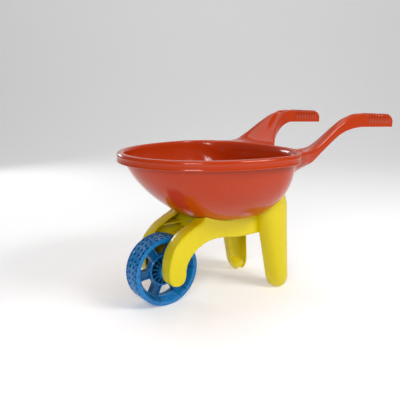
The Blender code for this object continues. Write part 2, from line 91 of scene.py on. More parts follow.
# The rim from where the skirt turns down to the bowl, as distance in from the outline and height.
RIM_PROFILE = [(ROLL, RIM_TOP), (0.0075, RIM_TOP), (0.0098, RIM_TOP), (0.0117, RIM_TOP - 0.0002),
               (0.0132, RIM_TOP - 0.0009), (0.0143, RIM_TOP - 0.0022), (0.0151, RIM_TOP - 0.0045)]

# --- Wings and grips ----------------------------------------------------------------------

WING_COLUMNS = 35
HANDLE_OUTER_Y = 0.131
HANDLE_INNER_Y = 0.105
GRIP_START_X = 0.2225
# (x, y, z) of a wing's edge in the notch between the handles, and (x, y) of its outer edge, row by row.
NOTCH_EDGE = [(0.0440, 0.0115, 0.3215), (0.0550, 0.0190, 0.3175), (0.0655, 0.0255, 0.3150),
              (0.0865, 0.0390, 0.3130), (0.1025, 0.0510, 0.3135), (0.1165, 0.0650, 0.3230),
              (0.1335, 0.0810, 0.3435), (0.1555, 0.0940, 0.3650), (0.1815, 0.1035, 0.3845),
              (0.2095, 0.1090, 0.3930), (0.2225, 0.1100, 0.3953)]
OUTER_EDGE = [(-0.0020, 0.1480), (0.0055, 0.1460), (0.0130, 0.1440), (0.0310, 0.1380),
              (0.0600, 0.1320), (0.0960, 0.1290), (0.1300, 0.1270), (0.1620, 0.1260),
              (0.1920, 0.1260), (0.2120, 0.1260), (0.2225, 0.1260)]
# (x, z) of the crest along a handle, of the lower edge of its outer skirt, and of the notch's skirt.
CREST = [(0.000, 0.3236), (0.038, 0.3245), (0.058, 0.3285), (0.088, 0.3450), (0.123, 0.3665),
         (0.156, 0.3840), (0.192, 0.3945), (0.2225, 0.3955), (0.2265, 0.3935), (0.332, 0.3880)]
KEEL = [(-0.014, 0.305), (0.004, 0.303), (0.018, 0.297), (0.032, 0.2935), (0.048, 0.2995),
        (0.079, 0.3185), (0.111, 0.338), (0.144, 0.355), (0.179, 0.363), (0.208, 0.3655),
        (0.3343, 0.3605)]
NOTCH_FOOT = [(0.036, 0.3050), (0.068, 0.3020), (0.089, 0.3035), (0.104, 0.3060), (0.118, 0.3140),
              (0.136, 0.3270), (0.158, 0.3420), (0.184, 0.3570), (0.212, 0.3650), (0.3343, 0.3605)]
CREST_SHARE = 0.78
CREST_FALL = 0.0022
RIBS = 8
RIB_START_X = 0.2370
RIB_PITCH = 0.0102
RIB_HEIGHT = 0.0025
GRIP_ROUND = 0.0100
GUSSET_SPAN = (-0.056, 0.050)
GUSSET_LEDGE = 0.0065
# The gusset's line on the bowl: where it starts and how far it runs, in x and then down in z.
GUSSET_FOOT_X = (-0.052, 0.070)
GUSSET_FOOT_Z = (0.303, 0.040)

# --- Side frames --------------------------------------------------------------------------

FRAME_OUTER_Y = 0.066
FRAME_INNER_Y = 0.034
FRAME_WALL = 0.0026
FRAME_EDGE = 0.0042
FRAME_GAP = 0.0004
DECK_TOP = 0.1625
DECK_THICKNESS = 0.0025
DECK_ENDS = (-0.2350, 0.0215)
BOSS_RADIUS = 0.009
BOSS_BORE = 0.0042
ARM_OUTLINE = [(-0.2553, 0.0545), (-0.2412, 0.0602), (-0.2353, 0.0745), (-0.2343, 0.0885),
               (-0.2278, 0.1045), (-0.2133, 0.1210), (-0.1908, 0.1345), (-0.1640, 0.1405),
               (-0.1320, 0.1395), (-0.0920, 0.1345), (-0.0300, 0.1345), (0.0200, 0.1345),
               (0.0240, 0.1385), (0.0240, 0.1900), (0.0200, 0.2150), (-0.0800, 0.2150),
               (-0.1725, 0.2150), (-0.1895, 0.1885), (-0.2178, 0.1725), (-0.2433, 0.1575),
               (-0.2628, 0.1365), (-0.2723, 0.1150), (-0.2763, 0.0920), (-0.2757, 0.0745),
               (-0.2697, 0.0602)]
LEG_MID_Y = 0.0695
LEG_OPEN_Y = 0.0640
LEG_FRONT = (-0.0090, -0.2170)
LEG_REAR = (0.0380, -0.0500)
LEG_BULGE = (0.029, 0.033)
LEG_TOP = 0.235
# Above the first height the leg's rear is tucked in by the second, a share of the height past it.
LEG_TUCK = (0.200, 0.32)
# Up to here the leg's rings are level; above it they lean over to follow the tub.
LEG_FLAT = 0.12
FOOT_ROUND = 0.030
FOOT_SHARE = 0.36
TIE_BOTTOM = 0.150
TIE_TOP = 0.2
TIE_THICKNESS = 0.0025
TIE_LAP = 0.012
TIES = {"front": (-0.1815, 0.168), "rear": (-0.0780, 0.160)}
TUB_SCREWS = {"front": -0.112, "rear": -0.038}
TUB_SCREW_Y = 0.048

# --- Wheel --------------------------------------------------------------------------------

HALF_GAP = 0.00015
WHEEL_FACE_Y = 0.0233
PLATE_Y = 0.0225
HUB_RADIUS = 0.0165
BORE_RADIUS = 0.00412
DRUM_RADIUS = 0.030
WEB_Y = 0.0085
WEB_END, RING_START = 0.0592, 0.0655
RECESS_Y = 0.0032
WINDOW_INNER = 0.034
WINDOW_OUTER = 0.0575
SPOKES = 6
SPOKE_TURN = math.radians(5)
SPOKE_HALF = 0.009
FINS = 16
TREAD_BLOCKS = 36

# --- Screws and finishes ------------------------------------------------------------------

SCREW_HEAD_RADIUS = 0.004
SCREW_HEAD_HEIGHT = 0.0024
SCREW_RADIUS = 0.0015
THREAD_PITCH = 0.0012
THREAD_DEPTH = 0.0003
SLOT_HALF = 0.0005
SLOT_REACH = 0.0021
SLOT_DEPTH = 0.0011
PILOT_RADIUS = 0.0017
TUB_SCREW_LENGTH = 0.0105
JOINING_SCREW_LENGTH = 0.0085
# Painted shade: how dark recesses and furrows are painted, as a share of the material's colour.
PAINTED_SHADE_SHARE = 0.12

# --- View ---------------------------------------------------------------------------------

VIEW_TARGET = Vector((-0.1563, 0.0, 0.2132))
VIEW_AZIMUTH = math.radians(-35.13)
VIEW_ELEVATION = math.radians(12.53)
VIEW_DISTANCE = 1.108
LENS = 45.45


# --- Grids and meshes ---------------------------------------------------------------------

def smooth(t):
    """A step from 0 to 1 as t goes from 0 to 1, level at both ends: three t squared less two t
    cubed."""
    t = np.clip(t, 0.0, 1.0)
    return t * t * (3 - 2 * t)


def band(t, low, high, soft):
    """1 between low and high, falling to 0 over a length soft on each side."""
    return smooth((t - low) / soft + 0.5) * smooth((high - t) / soft + 0.5)


def signed_power(value, power):
    return np.sign(value) * np.abs(value) ** power


def cubic(before, start, end, after, u):
    """From start to end as u goes from 0 to 1: the cubic whose slopes are half the spans beside it."""
    square = 2 * before - 5 * start + 4 * end - after
    cube = 3 * start - before - 3 * end + after
    return 0.5 * (2 * start + (end - before) * u + square * u ** 2 + cube * u ** 3)


def through(knots, count):
    """A smooth line through the knots, a cubic between each two of them."""
    knots = np.asarray(knots, float)
    padded = np.vstack([2 * knots[0] - knots[1], knots, 2 * knots[-1] - knots[-2]])
    t = np.linspace(0, len(knots) - 1, count)
    i = np.minimum(t.astype(int), len(knots) - 2)
    u = (t - i)[:, None]
    return cubic(*(padded[i + k] for k in range(4)), u)


def around_through(knots, count):
    """The same line through a closed ring of knots."""
    knots = np.asarray(knots, float)
    size = len(knots)
    t = np.linspace(0, size, count, endpoint=False)
    i = t.astype(int)
    u = (t - i)[:, None]
    return cubic(*(knots[(i + k - 1) % size] for k in range(4)), u)


def grid_faces(rows, columns, wrap_rows=False, wrap_columns=False, start=0):
    """The quads of a grid of rows by columns numbered row by row, joined round at its ends where
    asked."""
    r = np.arange(rows if wrap_rows else rows - 1)[:, None]
    c = np.arange(columns if wrap_columns else columns - 1)[None, :]
    r1, c1 = (r + 1) % rows, (c + 1) % columns
    quads = np.stack([r * columns + c, r * columns + c1, r1 * columns + c1, r1 * columns + c], axis=-1)
    return (quads.reshape(-1, 4) + start).tolist()


def ring_solid(rings, ends=True):
    """A closed solid skinned over rings of points (rings x points x 3), its first and last ring filled
    flat."""
    rows, columns, _ = rings.shape
    faces = grid_faces(rows, columns, wrap_rows=not ends, wrap_columns=True)
    if ends:
        faces.append(list(range(columns)))
        faces.append(list(range((rows - 1) * columns, rows * columns)))
    return rings.reshape(-1, 3), faces


def turned(profile, around=96, centre=(0, 0, 0), axis="Y", side=1):
    """A ring of revolution: each (radius, height) of a closed profile goes round the axis through
    centre."""
    profile = np.asarray(profile, float)
    angle = np.linspace(0, TURN, around, endpoint=False)[:, None]
    radius, height = profile[None, :, 0], profile[None, :, 1] * side
    across, up = radius * np.cos(angle), radius * np.sin(angle)
    along = height + 0 * angle
    order = {"Y": (across, along, up), "Z": (across, up, along), "X": (along, across, up)}[axis]
    points = np.stack(order, axis=-1) + np.asarray(centre)
    return ring_solid(points, ends=False)


def make_piece(name, shells, material, body, replaced=(), sharp=38, painted_shade_at=None):
    """One mesh object from closed shells of (points, faces), with its faces turned outwards. A shade
    function, where given, turns points into shares of painted shade, kept on the mesh for the finishes."""
    points, faces, start = [], [], 0
    for shell_points, shell_faces in shells:
        points.append(shell_points)
        faces += [[index + start for index in face] for face in shell_faces]
        start += len(shell_points)
    mesh = bpy.data.meshes.new(name)
    mesh.from_pydata(np.concatenate(points).tolist(), [], faces)
    shape = bmesh.new()
    shape.from_mesh(mesh)
    bmesh.ops.remove_doubles(shape, verts=shape.verts, dist=1e-7)
    bmesh.ops.recalc_face_normals(shape, faces=shape.faces)
    shape.to_mesh(mesh)
    shape.free()
    mesh.shade_smooth()
    mesh.set_sharp_from_angle(angle=math.radians(sharp))
    mesh.materials.append(material)
    # Painted shade: a share per point of how far the colour is darkened where shade falls.
    if painted_shade_at is not None:
        place = np.empty(len(mesh.vertices) * 3, dtype=np.float32)
        mesh.vertices.foreach_get("co", place)
        share = painted_shade_at(place.reshape(-1, 3).astype(float))
        mesh.attributes.new("painted_shade", "FLOAT", "POINT").data.foreach_set("value", share.astype(np.float32))
    piece = bpy.data.objects.new(name, mesh)
    bpy.context.scene.collection.objects.link(piece)
    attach(piece, body)
    if replaced:
        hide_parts(*replaced)
    return piece


# --- Finishes -----------------------------------------------------------------------------

def add_node(tree, kind, inputs=None, **settings):
    made = tree.nodes.new(kind)
    for name, value in settings.items():
        setattr(made, name, value)
    for name, value in (inputs or {}).items():
        made.inputs[name].default_value = value
    return made


def new_group(name, inputs, outputs):
    """An empty shader group with named float inputs and outputs, and its two end nodes."""
    group = bpy.data.node_groups.new(name, "ShaderNodeTree")
    for label, value in inputs.items():
        socket = group.interface.new_socket(name=label, in_out="INPUT", socket_type="NodeSocketFloat")
        socket.default_value = value
    for label in outputs:
        group.interface.new_socket(name=label, in_out="OUTPUT", socket_type="NodeSocketFloat")
    return group, group.nodes.new("NodeGroupInput"), group.nodes.new("NodeGroupOutput")


def spread(tree, value, low, high, to_low=0.0, to_high=1.0):
    """Carries value from low..high to to_low..to_high, held at the ends."""
    made = add_node(tree, "ShaderNodeMapRange", {"From Min": low, "From Max": high, "To Min": to_low,
                                                 "To Max": to_high}, interpolation_type="SMOOTHSTEP")
    tree.links.new(value, made.inputs["Value"])
    return made.outputs["Result"]


def maths(tree, operation, first, second):
    made = add_node(tree, "ShaderNodeMath", operation=operation)
    for socket, value in zip(made.inputs, (first, second)):
        if isinstance(value, (int, float)):
            socket.default_value = value
        else:
            tree.links.new(value, socket)
    return made.outputs[0]


def noise(tree, place, scale, detail=2.0, roughness=0.5):
    made = add_node(tree, "ShaderNodeTexNoise", {"Detail": detail, "Roughness": roughness})
    tree.links.new(place, made.inputs["Vector"])
    if isinstance(scale, (int, float)):
        made.inputs["Scale"].default_value = scale
    else:
        tree.links.new(scale, made.inputs["Scale"])
    return made.outputs["Fac"]


def moulded_skin_group():
    """Orange-peel skin of moulded plastic: a fine noise on a slow waviness, and a slow mottle of the
    colour."""
    group, ends_in, ends_out = new_group("moulded_skin", {"Grain": 900.0, "Waviness": 45.0},
                                         ("Height", "Mottle"))
    place = group.nodes.new("ShaderNodeTexCoord").outputs["Object"]
    fine = noise(group, place, ends_in.outputs["Grain"], 2.0)
    slow = noise(group, place, ends_in.outputs["Waviness"], 1.0)
    height = maths(group, "ADD", maths(group, "MULTIPLY", fine, 0.3), maths(group, "MULTIPLY", slow, 0.7))
    mottle = spread(group, noise(group, place, 9.0, 1.5), 0.2, 0.8)
    group.links.new(height, ends_out.inputs["Height"])
    group.links.new(mottle, ends_out.inputs["Mottle"])
    return group


def scuff_group():
    """Rubs and hair scratches: long thin streaks of stretched noise, kept only where a slow patch noise
    is high."""
    group, ends_in, ends_out = new_group("scuffs", {"Amount": 0.5}, ("Mask",))
    place = group.nodes.new("ShaderNodeTexCoord").outputs["Object"]
    streaks = []
    for turn, stretch in ((0.5, (30, 520, 520)), (-0.9, (460, 40, 380)), (1.9, (420, 520, 34))):
        lie = {"Rotation": (turn, turn * 0.6, turn * 1.3), "Scale": stretch}
        mapping = add_node(group, "ShaderNodeMapping", lie)
        group.links.new(place, mapping.inputs["Vector"])
        streaks.append(spread(group, noise(group, mapping.outputs["Vector"], 1.0, 2.0, 0.4), 0.67, 0.74))
    lines = maths(group, "MAXIMUM", maths(group, "MAXIMUM", streaks[0], streaks[1]), streaks[2])
    patch = spread(group, noise(group, place, 22.0, 3.0, 0.6), 0.5, 0.68)
    mask = maths(group, "MULTIPLY", maths(group, "MULTIPLY", lines, patch), ends_in.outputs["Amount"])
    group.links.new(mask, ends_out.inputs["Mask"])
    return group


def ground_dust_group():
    """Fine sand and dust that thins out with height above the ground, broken up by noise."""
    group, ends_in, ends_out = new_group("ground_dust", {"Reach": 0.06, "Amount": 0.5}, ("Mask",))
    place = group.nodes.new("ShaderNodeTexCoord").outputs["Object"]
    split = group.nodes.new("ShaderNodeSeparateXYZ")
    group.links.new(place, split.inputs[0])
    level = maths(group, "DIVIDE", split.outputs["Z"], ends_in.outputs["Reach"])
    low = spread(group, level, 1.0, 0.0)
    specks = spread(group, noise(group, place, 160.0, 5.0, 0.7), 0.42, 0.72)
    mask = maths(group, "MULTIPLY", maths(group, "MULTIPLY", low, specks), ends_in.outputs["Amount"])
    group.links.new(mask, ends_out.inputs["Mask"])
    return group


MOULDED_SKIN = moulded_skin_group()
SCUFFS = scuff_group()
GROUND_DUST = ground_dust_group()


def place_group(tree, group, **values):
    made = tree.nodes.new("ShaderNodeGroup")
    made.node_tree = group
    for name, value in values.items():
        made.inputs[name].default_value = value
    return made


def blend_colour(tree, share, first, second):
    made = add_node(tree, "ShaderNodeMix", data_type="RGBA")
    tree.links.new(share, made.inputs["Factor"])
    for label, value in (("A", first), ("B", second)):
        socket = next(s for s in made.inputs if s.name == label and s.type == "RGBA")
        if isinstance(value, tuple):
            socket.default_value = (*value, 1.0)
        else:
            tree.links.new(value, socket)
    return next(s for s in made.outputs if s.type == "RGBA")


def moulded_plastic(name, colour, deep, scuffed, dust, rough, sheen_rough, scuff_amount, dust_amount):
    """Moulded plastic: mottled colour, pale scuffs, dust near the ground, painted shade darkening the
    colour in recesses and furrows, and orange-peel skin.
    """
    made = bpy.data.materials.new(name)
    made.use_nodes = True
    tree = made.node_tree
    shader = tree.nodes["Principled BSDF"]
    shader.inputs["IOR"].default_value = 1.5
    shader.inputs["Specular IOR Level"].default_value = 0.30
    shader.inputs["Coat Weight"].default_value = 0.06
    shader.inputs["Coat Roughness"].default_value = 0.05
    skin = place_group(tree, MOULDED_SKIN)
    scuffs = place_group(tree, SCUFFS, Amount=scuff_amount)
    dusty = place_group(tree, GROUND_DUST, Amount=dust_amount)
    base = blend_colour(tree, skin.outputs["Mottle"], deep, colour)
    base = blend_colour(tree, scuffs.outputs["Mask"], base, scuffed)
    base = blend_colour(tree, dusty.outputs["Mask"], base, dust)
    # Painted shade: where the mesh's shade attribute is high, the colour goes to a dark copy of itself,
    # standing in for shade in recesses and furrows.
    painted_shade = add_node(tree, "ShaderNodeAttribute", attribute_name="painted_shade")
    base = blend_colour(tree, painted_shade.outputs["Fac"], base, tuple(value * PAINTED_SHADE_SHARE for value in colour))
    tree.links.new(base, shader.inputs["Base Color"])
    gloss = spread(tree, skin.outputs["Mottle"], 0.0, 1.0, rough, sheen_rough)
    gloss = maths(tree, "ADD", gloss, maths(tree, "MULTIPLY", scuffs.outputs["Mask"], 0.22))
    gloss = maths(tree, "ADD", gloss, maths(tree, "MULTIPLY", dusty.outputs["Mask"], 0.4))
    tree.links.new(gloss, shader.inputs["Roughness"])
    bump = add_node(tree, "ShaderNodeBump", {"Strength": 0.16, "Distance": 0.0005})
    tree.links.new(skin.outputs["Height"], bump.inputs["Height"])
    tree.links.new(bump.outputs["Normal"], shader.inputs["Normal"])
    return made


def plated_steel():
    """Bright zinc plate: fine drawn lines and a slow change of roughness."""
    made = bpy.data.materials.new("plated_steel")
    made.use_nodes = True
    tree = made.node_tree
    shader = tree.nodes["Principled BSDF"]
    shader.inputs["Metallic"].default_value = 1.0
    skin = place_group(tree, MOULDED_SKIN, Grain=2600.0, Waviness=300.0)
    scuffs = place_group(tree, SCUFFS, Amount=0.8)
    tone = blend_colour(tree, skin.outputs["Mottle"], (0.50, 0.51, 0.53), (0.66, 0.66, 0.68))
    tone = blend_colour(tree, scuffs.outputs["Mask"], tone, (0.36, 0.35, 0.33))
    tree.links.new(tone, shader.inputs["Base Color"])
    tree.links.new(spread(tree, skin.outputs["Mottle"], 0.0, 1.0, 0.24, 0.38), shader.inputs["Roughness"])
    bump = add_node(tree, "ShaderNodeBump", {"Strength": 0.2, "Distance": 0.0002})
    tree.links.new(skin.outputs["Height"], bump.inputs["Height"])
    tree.links.new(bump.outputs["Normal"], shader.inputs["Normal"])
    return made


RED = moulded_plastic("red_moulded_plastic", (0.465, 0.038, 0.003), (0.440, 0.034, 0.002),
                      (0.60, 0.12, 0.06), (0.50, 0.36, 0.24), 0.13, 0.17, 0.25, 0.0)
YELLOW = moulded_plastic("yellow_moulded_plastic", (0.720, 0.590, 0.001), (0.695, 0.562, 0.001),
                         (0.80, 0.66, 0.22), (0.55, 0.42, 0.26), 0.24, 0.29, 0.25, 0.25)
BLUE = moulded_plastic("blue_moulded_plastic", (0.006, 0.190, 0.500), (0.005, 0.165, 0.450),
                       (0.10, 0.32, 0.60), (0.42, 0.36, 0.28), 0.24, 0.30, 0.4, 0.15)
STEEL = plated_steel()


# --- Tub with its wings and grips ---------------------------------------------------------

def outline(angle, inset, share=1.0, shift=0.0):
    """The rim's superellipse: the reach to the front or back and the half width, drawn in by inset and
    shrunk by share, each times the cosine or sine of the angle to the power of two over
    OUTLINE_POWER."""
    bend = 2 / OUTLINE_POWER
    reach = np.where(np.cos(angle) > 0, TUB_BACK_X - TUB_MID_X, TUB_MID_X - TUB_FRONT_X)
    x = TUB_MID_X + shift + (reach - inset) * share * signed_power(np.cos(angle), bend)
    y = (HALF_WIDTH - inset) * share * signed_power(np.sin(angle), bend)
    return x, y


def bowl_power(angle):
    ends = np.where(np.cos(angle) > 0, POWER_BACK, POWER_FRONT)
    return POWER_SIDE * np.sin(angle) ** 2 + ends * np.cos(angle) ** 2


def bowl_inside(angle, fall):
    """The bowl's inner surface: a superellipse wall that falls from the rim to the floor as fall goes
    from 0 to a quarter turn, its depth the sine and its width the cosine of fall, each to a power."""
    depth = np.sin(fall) ** (2 / bowl_power(angle))
    share = FLOOR_SHARE + (1 - FLOOR_SHARE) * np.cos(fall) ** (2 / BOWL_ROUNDNESS)
    x, y = outline(angle, RIM_REACH, share, FLOOR_SHIFT * depth)
    return np.stack([x, y, BOWL_TOP - (BOWL_TOP - FLOOR_TOP) * depth], axis=-1)


def bowl_under(x, y, grow):
    """The height of the bowl's outside over a point in plan, the bowl grown by a wall and a gap. The
    depth sets how far the section is moved back, so the two are worked out in turn until they agree."""
    depth = np.full(np.shape(x), 0.9)
    half = HALF_WIDTH - RIM_REACH + grow
    for _ in range(30):
        along = x - TUB_MID_X - FLOOR_SHIFT * depth
        reach = np.where(along > 0, TUB_BACK_X - TUB_MID_X, TUB_MID_X - TUB_FRONT_X) - RIM_REACH + grow
        cosine = signed_power(along / reach, OUTLINE_POWER / 2)
        sine = signed_power(y / half, OUTLINE_POWER / 2)
        share = np.hypot(cosine, sine) ** (2 / OUTLINE_POWER)
        level = np.clip((share - FLOOR_SHARE) / (1 - FLOOR_SHARE), 0.0, 1.0) ** (BOWL_ROUNDNESS / 2)
        angle = np.arctan2(sine, cosine)
        depth = 0.5 * depth + 0.5 * np.sqrt(1 - level ** 2) ** (2 / bowl_power(angle))
    return BOWL_TOP - (BOWL_TOP - FLOOR_TOP + grow) * depth


def crest_height(x):
    """The crest along a handle, its corners softened by averaging the line over a few millimetres."""
    steps = np.linspace(-0.003, 0.003, 7)[:, None]
    knots = np.array(CREST)
    heights = np.interp(np.ravel(x)[None, :] + steps, knots[:, 0], knots[:, 1])
    return heights.mean(axis=0).reshape(np.shape(x))


def rib_wave(x):
    """The finger ribs of a grip: a row of raised cosines, to a power below one, from RIB_START_X."""
    turns = (x - RIB_START_X) / RIB_PITCH
    inside = (turns > 0) & (turns < RIBS)
    return np.where(inside, np.abs(0.5 - 0.5 * np.cos(TURN * turns)) ** 0.7, 0.0)


def bowl_grid():
    """The rim's top and the bowl as one grid of rings, from the turn of the skirt in to the middle of
    the floor."""
    angle = np.linspace(0, TURN, AROUND, endpoint=False)
    rings = []
    for inset, height in RIM_PROFILE:
        x, y = outline(angle, inset)
        rings.append(np.stack([x, y, np.full_like(x, height)], axis=-1))
    falls = (math.pi / 2 - 1e-4) * np.linspace(0, 1, 52) ** 0.92
    rings += [bowl_inside(angle, fall) for fall in falls]
    middle = rings[-1].mean(axis=0)
    rings += [middle + (rings[-1] - middle) * share for share in (0.8, 0.6, 0.4, 0.2, 0.06)]
    return np.array(rings), middle


def wing_grid(rim):
    """The top of the right-hand wing and grip, rows of columns from the rim's own points to the end of
    the grip. A row climbs from the notch to the crest by a smooth step, then falls away as the square
    of the distance."""
    rim_row = rim[:WING_COLUMNS + 1]
    notch = through(np.vstack([rim_row[0], NOTCH_EDGE]), 96)
    outer = through(np.vstack([rim_row[-1, :2], OUTER_EDGE]), 96)
    straight = np.arange(GRIP_START_X + 0.001, GRIP_END_X - ROLL - 0.0004, 0.001)
    straight = np.append(straight, GRIP_END_X - ROLL)
    level = np.full_like(straight, HANDLE_INNER_Y + ROLL)
    notch = np.vstack([notch, np.stack([straight, level, np.zeros_like(straight)], axis=-1)])
    outer = np.vstack([outer, np.stack([straight, np.full_like(straight, HANDLE_OUTER_Y - ROLL)], axis=-1)])
    share = np.linspace(0, 1, WING_COLUMNS + 1)[None, :]
    run = np.arange(len(notch))[:, None] / 95
    x = notch[:, :1] + (outer[:, :1] - notch[:, :1]) * share
    y = notch[:, 1:2] + (outer[:, 1:2] - notch[:, 1:2]) * share
    fade = 1 - smooth(run / 0.30)
    chord = rim_row[:1, :2] + (rim_row[-1:, :2] - rim_row[:1, :2]) * share.T
    x += (rim_row[:, 0] - chord[:, 0])[None, :] * fade
    y += (rim_row[:, 1] - chord[:, 1])[None, :] * fade

    in_grip = notch[:, :1] > GRIP_START_X
    crest = crest_height(outer[:, :1])
    low = np.where(in_grip, crest, notch[:, 2:3])
    high = crest + (RIM_TOP - crest) * (1 - smooth(run / 0.12))
    past = np.maximum(share - CREST_SHARE, 0) / (1 - CREST_SHARE)
    fall = CREST_FALL * np.sin(np.pi * np.clip(run, 0, 1)) ** 0.8
    z = low + (high - low) * smooth(share / CREST_SHARE) - fall * past ** 2
    z += RIB_HEIGHT * rib_wave(x)
    back = np.clip((x - (GRIP_END_X - ROLL - GRIP_ROUND)) / GRIP_ROUND, 0, 1)
    z -= GRIP_ROUND * (1 - np.sqrt(1 - 0.96 * back ** 2))
    return np.stack([x, y, z], axis=-1)[1:]


def relax(points, faces, weight, rounds):
    """Moves each point part of the way to the mean of its neighbours along the quads, weight by
    weight."""
    quads = np.array(faces)
    first = quads[:, [0, 1, 2, 3]].ravel()
    second = quads[:, [1, 2, 3, 0]].ravel()
    ends, others = np.concatenate([first, second]), np.concatenate([second, first])
    count = np.bincount(ends, minlength=len(points))[:, None]
    for _ in range(rounds):
        total = np.stack([np.bincount(ends, points[others, k], len(points)) for k in range(3)], axis=-1)
        points = points + weight[:, None] * (total / np.maximum(count, 1) - points) * 0.6
    return points


def corner_normals(points, faces):
    """The normal at each point: the sum of the cross products of the diagonals of the quads round
    it."""
    quads = np.array(faces)
    cross = np.cross(points[quads[:, 2]] - points[quads[:, 0]], points[quads[:, 3]] - points[quads[:, 1]])
    total = np.zeros_like(points)
    for k in range(4):
        for axis in range(3):
            total[:, axis] += np.bincount(quads[:, k], cross[:, axis], len(points))
    return total / np.maximum(np.linalg.norm(total, axis=1, keepdims=True), 1e-12)


def ring_average(values, reach):
    """Each value of a closed ring averaged with its neighbours, reach on each side."""
    return sum(np.roll(values, k, axis=0) for k in range(-reach, reach + 1)) / (2 * reach + 1)


def tub_sheet():
    """The tub's upper face without its skirt: points, quads, the border ring and which edge each point
    is on."""
    grid, middle = bowl_grid()
    rows = len(grid)
    points = [grid.reshape(-1, 3), middle[None, :]]
    centre = rows * AROUND
    faces = grid_faces(rows, AROUND, wrap_columns=True)
    last = (rows - 1) * AROUND
    faces += [[last + i, last + (i + 1) % AROUND, centre, centre] for i in range(AROUND)]
    start = centre + 1
    border = {}
    for side in (1, -1):
        wing = wing_grid(grid[0]) * (1, side, 1)
        count, columns = wing.shape[:2]
        index = np.arange(count * columns).reshape(count, columns) + start
        root = (side * np.arange(columns)) % AROUND
        index = np.vstack([root, index])
        quads = np.stack([index[:-1, :-1], index[1:, :-1], index[1:, 1:], index[:-1, 1:]], axis=-1)
        quads = quads.reshape(-1, 4)
        faces += (quads if side > 0 else quads[:, ::-1]).tolist()
        points.append(wing.reshape(-1, 3))
        start += count * columns
        border[side] = index
    rim = np.arange(WING_COLUMNS, AROUND - WING_COLUMNS + 1)
    left, right = border[-1], border[1]
    stretches = [(rim, "rim"),
                 (left[1:, -1], "outer"), (left[-1, -2:0:-1], "end"), (left[::-1, 0], "notch"),
                 (right[1:, 0], "notch"), (right[-1, 1:-1], "end"), (right[:0:-1, -1], "outer")]
    loop = np.concatenate([part for part, _ in stretches])
    edge = np.concatenate([np.full(len(part), label) for part, label in stretches])
    return np.vstack(points), faces, loop, edge


def skirt_rows(points, loop, edge):
    """The skirt: a quarter round over the edge, then straight down to its foot, with a bead along the
    foot of the rim. On the grips the ribs run down its sides and fade."""
    place = points[loop]
    ahead = np.roll(place, -1, axis=0) - np.roll(place, 1, axis=0)
    out = np.stack([ahead[:, 1], -ahead[:, 0], np.zeros(len(place))], axis=-1)
    out /= np.linalg.norm(out, axis=1, keepdims=True)
    out = ring_average(out, 1)
    out /= np.linalg.norm(out, axis=1, keepdims=True)
    x = place[:, 0]
    keel, notch = np.array(KEEL), np.array(NOTCH_FOOT)
    inner = np.interp(x, notch[:, 0], notch[:, 1])
    outer = np.interp(x, keel[:, 0], keel[:, 1])
    foot = np.where(edge == "notch", inner, outer)
    foot = np.where(edge == "rim", np.where(x > keel[0, 0], foot, RIM_BOTTOM), foot)
    foot = np.minimum(foot, place[:, 2] - ROLL_DROP - 0.003)
    beaded = ring_average((edge == "rim").astype(float), 3)
    foot = ring_average(ring_average(foot, 4), 4)
    ribs = np.where((edge == "outer") | (edge == "notch"), rib_wave(x), 0.0) * RIB_HEIGHT
    rows = []
    for turn in np.linspace(0, math.pi / 2, 8)[1:]:
        reach = ROLL * math.sin(turn) + ribs * math.sin(turn)
        drop = ROLL_DROP * (1 - math.cos(turn))
        rows.append(place + out * reach[:, None] - np.array([0, 0, drop]))
    top = rows[-1][:, 2]
    for share in (0.08, 0.2, 0.34, 0.48, 0.6, 0.7, 0.79, 0.87, 0.93, 1.0):
        bead = 0.0006 * (smooth((share - 0.80) / 0.08) - smooth(share / 0.2)) * beaded
        reach = ROLL + bead + ribs * (1 - smooth((share - 0.15) / 0.6))
        row = place + out * reach[:, None]
        row[:, 2] = top + (foot - top) * share
        rows.append(row)
    return rows


def gusset_shell(points, loop, edge, side):
    """The web that fills the corner between the bowl, the foot of the rim's skirt and the root of a
    handle. It runs straight from a line just inside the skirt to a line on the bowl, in step along
    both."""
    outside = (edge != "notch") & (edge != "end") & (points[loop, 1] * side > 0.12)
    path = points[loop][outside]
    path = path[np.argsort(path[:, 0])]
    share = np.linspace(0, 1, 44)
    x = GUSSET_SPAN[0] + (GUSSET_SPAN[1] - GUSSET_SPAN[0]) * share
    keel = np.array(KEEL)
    ledge = ROLL - GUSSET_LEDGE * (1 - smooth((share - 0.25) / 0.6)) - 0.0004
    y = side * (np.abs(np.interp(x, path[:, 0], path[:, 1])) + ledge)
    z = np.interp(x, keel[:, 0], keel[:, 1], left=RIM_BOTTOM) + 0.003 * (1 - share) + 0.0006
    upper = np.stack([x, y, z], axis=-1)
    low_x = GUSSET_FOOT_X[0] + GUSSET_FOOT_X[1] * share
    low_z = GUSSET_FOOT_Z[0] - GUSSET_FOOT_Z[1] * smooth(share * 1.15)
    inner, outer = np.zeros_like(share), np.full_like(share, HALF_WIDTH - RIM_REACH)
    for _ in range(30):
        middle = (inner + outer) / 2
        beyond = bowl_under(low_x, middle, TUB_WALL * 0.95) > low_z
        inner, outer = np.where(beyond, inner, middle), np.where(beyond, middle, outer)
    lower = np.stack([low_x, side * inner, low_z], axis=-1)
    fall = np.linspace(0, 1, 16)[:, None, None]
    face = upper + (lower - upper) * fall ** 0.9
    face[:, :, 1] -= side * 0.004 * np.sin(math.pi * fall[:, :, 0])
    back = face + np.array([-0.0004, -side * 0.0012, 0.0006])
    return ring_solid(np.concatenate([face, back[::-1]]).transpose(1, 0, 2))


def rib_furrow_shade(points):
    """Painted shade in the furrows between the finger ribs: one less the ribs' wave, over the upper
    part of the grips."""
    x, z = points[:, 0], points[:, 2]
    along = band(x, RIB_START_X, RIB_START_X + RIBS * RIB_PITCH, 0.002)
    upper = smooth((z - 0.366) / 0.010)
    return 0.5 * along * upper * (1 - rib_wave(x)) ** 1.5


